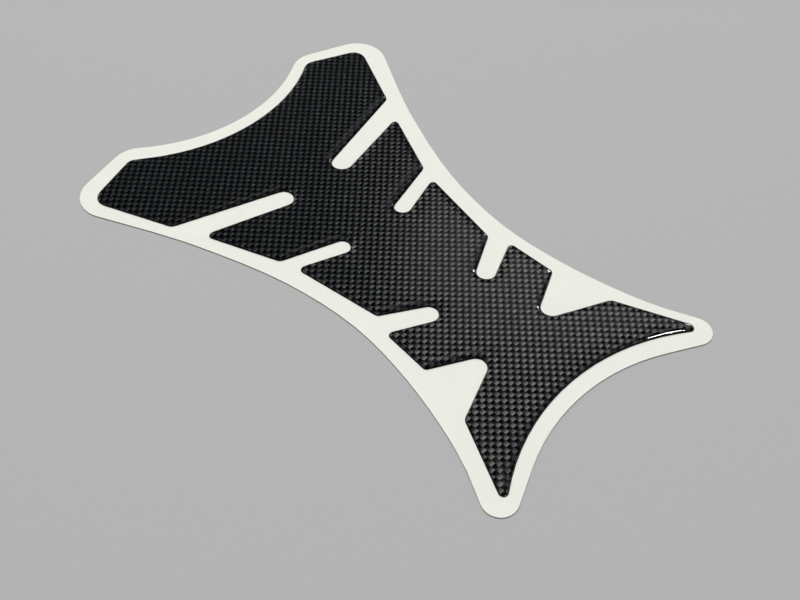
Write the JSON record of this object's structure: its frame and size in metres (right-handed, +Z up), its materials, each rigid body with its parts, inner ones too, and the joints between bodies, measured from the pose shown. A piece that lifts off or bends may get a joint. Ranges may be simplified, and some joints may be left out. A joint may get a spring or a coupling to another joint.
{
  "type": "motorcycle tank pad",
  "caption": "Clear-domed, hourglass-shaped tank pad with slotted flanks, lobed top and forked tail, lying on its white release liner.",
  "frame": {"origin": "middle of the release liner's underside", "axes": "+Y along the liner's axis of symmetry towards the wide, lobed top of the pad, +Z up out of the glossy face, +X to the right seen from above"},
  "size_m": [0.1538, 0.2218, 0.002],
  "materials": {
    "liner_paper": "warm white siliconed release paper, satin, faint mottling",
    "printed_vinyl": "vinyl film printed all over with a dark carbon plain weave of 1.75 mm tows",
    "clear_resin": "clear cast polyurethane dome, smooth and highly glossy"
  },
  "bodies": {
    "root": {"release_liner": "liner_paper", "printed_film": "printed_vinyl", "resin_dome": "clear_resin"}
  },
  "joints": []
}
